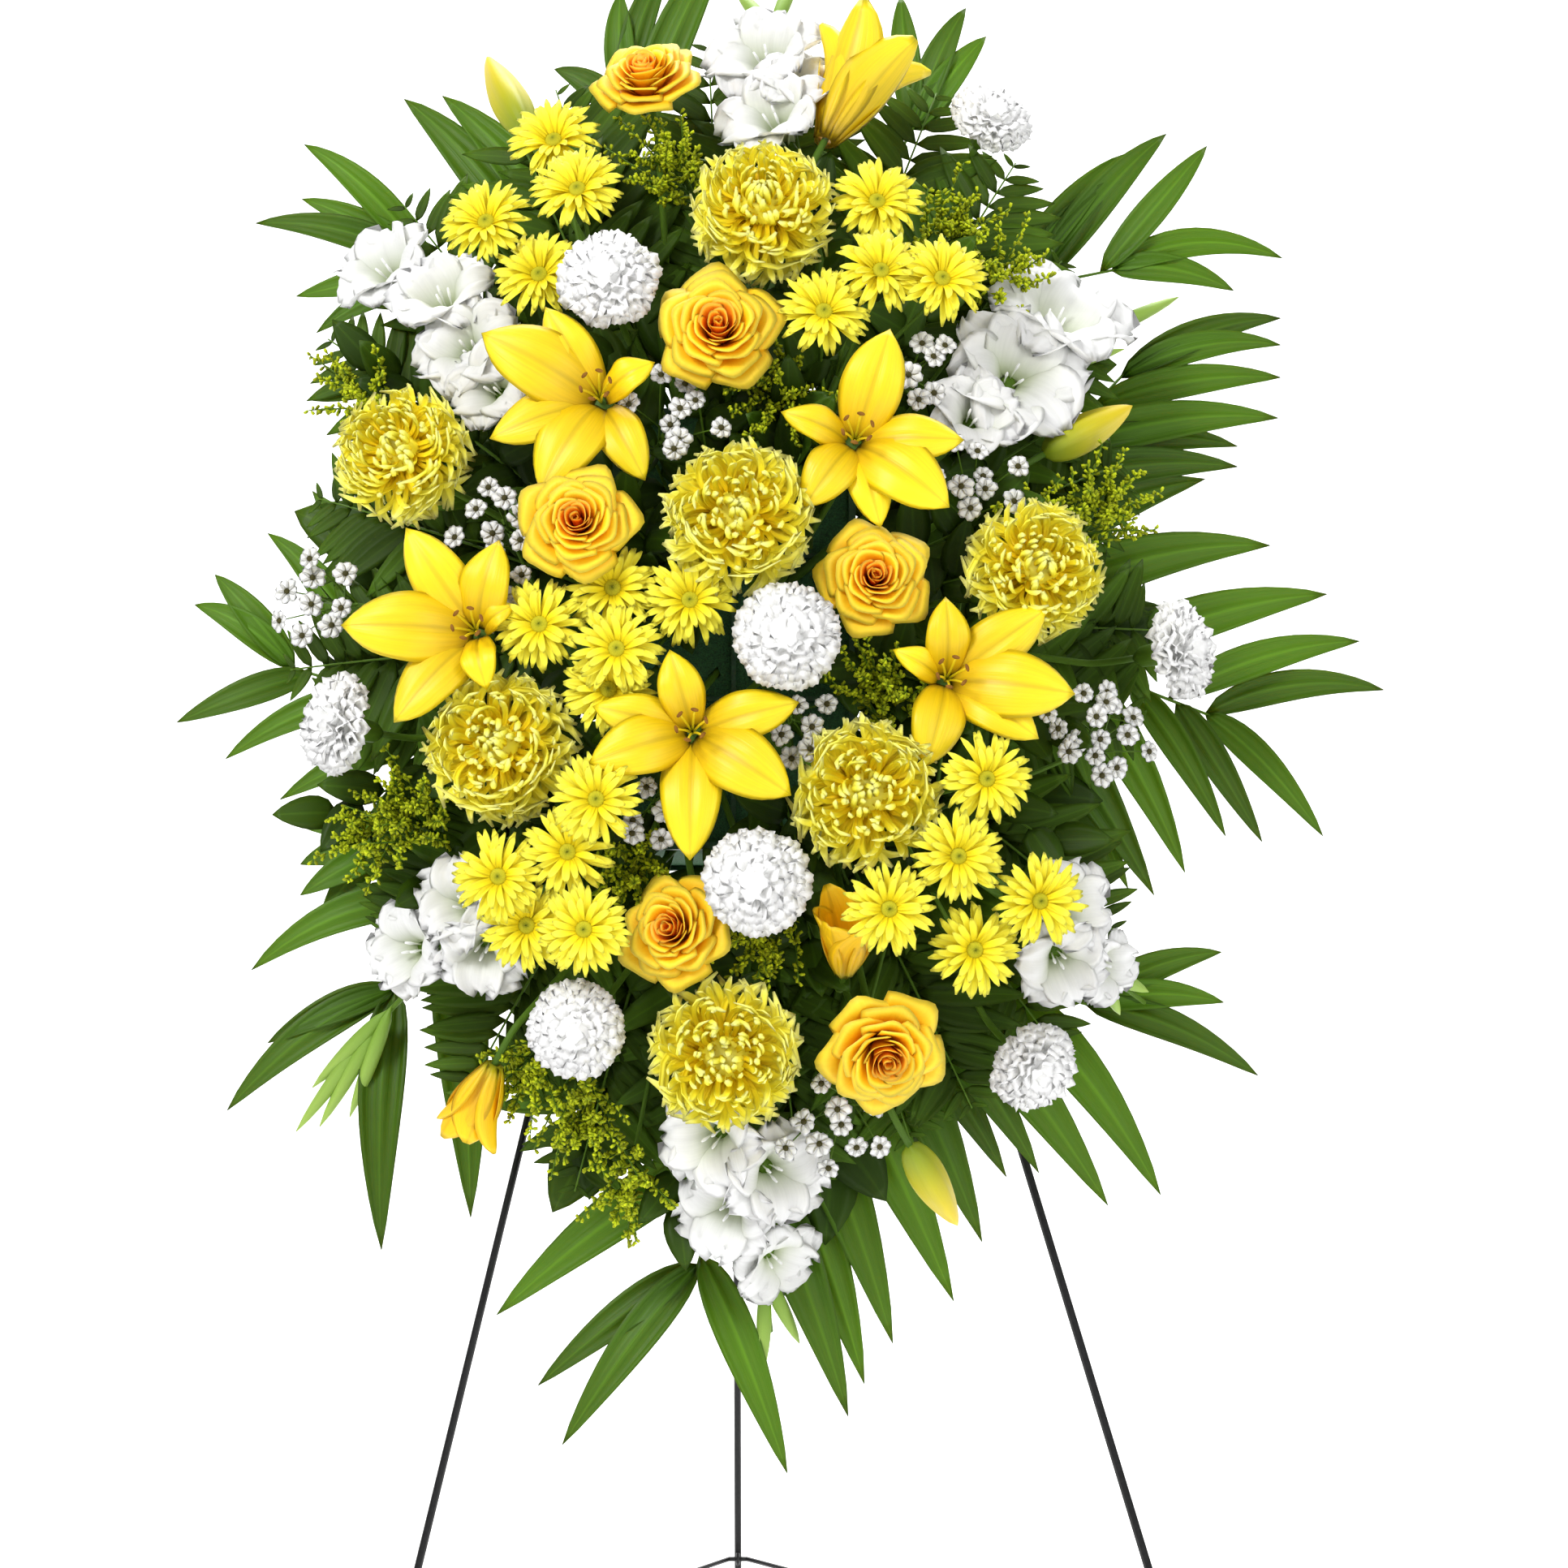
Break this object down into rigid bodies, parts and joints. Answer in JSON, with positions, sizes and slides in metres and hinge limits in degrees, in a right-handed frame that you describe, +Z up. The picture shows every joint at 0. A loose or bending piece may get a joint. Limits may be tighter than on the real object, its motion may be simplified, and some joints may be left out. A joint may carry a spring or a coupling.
{
  "type": "standing funeral spray on easel",
  "caption": "Large upright oval spray of fresh yellow and white flowers with palm fronds, in a caged foam block hung on a folding black wire easel, for standing at a funeral or graveside",
  "frame": {"origin": "on the floor, under the middle of the whole piece's box", "axes": "+Z up, -Y is the way the flowers face, +X to the right for someone who looks at the flowers"},
  "size_m": [0.8391, 0.741, 1.5757],
  "materials": {
    "easel_wire": "black enamelled steel wire",
    "cage_plastic": "dark green moulded plastic",
    "wet_foam": "open-celled green floral foam, wet",
    "mum_petals": "lemon-yellow petals, paler at their tips",
    "lily_petals": "golden-yellow petals with a satin sheen",
    "lily_bud_petals": "orange-yellow petals, green at the base",
    "rose_petals": "yellow-orange velvety petals",
    "carnation_petals": "matt white ruffled petals",
    "gladiolus_petals": "white petals with greenish throats",
    "daisy_petals": "clear yellow petals, olive-yellow discs",
    "palm_leaf": "mid-green leaf, slightly waxy",
    "goldenrod_florets": "fine matt olive-yellow florets",
    "aster_petals": "small white petals with dark yellow eyes"
  },
  "bodies": {
    "frame": {"left_leg": "easel_wire", "right_leg": "easel_wire", "hanging_bar": "easel_wire", "foam": "wet_foam", "cage": "cage_plastic", "mum_1": "mum_petals", "mum_2": "mum_petals", "mum_3": "mum_petals", "mum_4": "mum_petals", "mum_5": "mum_petals", "mum_6": "mum_petals", "mum_7": "mum_petals", "lily_1": "lily_petals", "lily_2": "lily_petals", "lily_3": "lily_petals", "lily_4": "lily_petals", "lily_5": "lily_petals", "lily_bud_1": "lily_bud_petals", "lily_bud_2": "lily_bud_petals", "lily_bud_3": "lily_bud_petals", "lily_bud_4": "lily_bud_petals", "lily_bud_5": "lily_bud_petals", "lily_bud_6": "lily_bud_petals", "rose_1": "rose_petals", "rose_2": "rose_petals", "rose_3": "rose_petals", "rose_4": "rose_petals", "rose_5": "rose_petals", "rose_6": "rose_petals", "carnation_1": "carnation_petals", "carnation_2": "carnation_petals", "carnation_3": "carnation_petals", "carnation_4": "carnation_petals", "carnation_5": "carnation_petals", "carnation_6": "carnation_petals", "carnation_7": "carnation_petals", "carnation_8": "carnation_petals", "gladiolus_1": "gladiolus_petals", "gladiolus_2": "gladiolus_petals", "gladiolus_3": "gladiolus_petals", "gladiolus_4": "gladiolus_petals", "gladiolus_5": "gladiolus_petals", "gladiolus_6": "gladiolus_petals", "daisy_spray_1": "daisy_petals", "daisy_spray_2": "daisy_petals", "daisy_spray_3": "daisy_petals", "daisy_spray_4": "daisy_petals", "daisy_spray_5": "daisy_petals", "palm_1": "palm_leaf", "palm_2": "palm_leaf", "palm_3": "palm_leaf", "palm_4": "palm_leaf", "palm_5": "palm_leaf", "goldenrod_1": "goldenrod_florets", "goldenrod_2": "goldenrod_florets", "goldenrod_3": "goldenrod_florets", "aster_1": "aster_petals", "aster_2": "aster_petals"},
    "back_leg": {"back_leg": "easel_wire"},
    "spreader": {"spreader": "easel_wire"}
  },
  "joints": [
    {"name": "back_leg_fold", "type": "hinge", "parent": "frame", "child": "back_leg", "pos_m": [-0.034, -0.02924, 1.285], "axis": [1, 0, 0], "range_deg": [-22, 0]},
    {"name": "spreader_drop", "type": "hinge", "parent": "back_leg", "child": "spreader", "pos_m": [-0.034, 0.24488, 0.369], "axis": [1, 0, 0], "range_deg": [0, 100]}
  ],
  "couplings": [
    {"joint": "spreader_drop", "follows": "back_leg_fold", "ratio": -4.5}
  ]
}
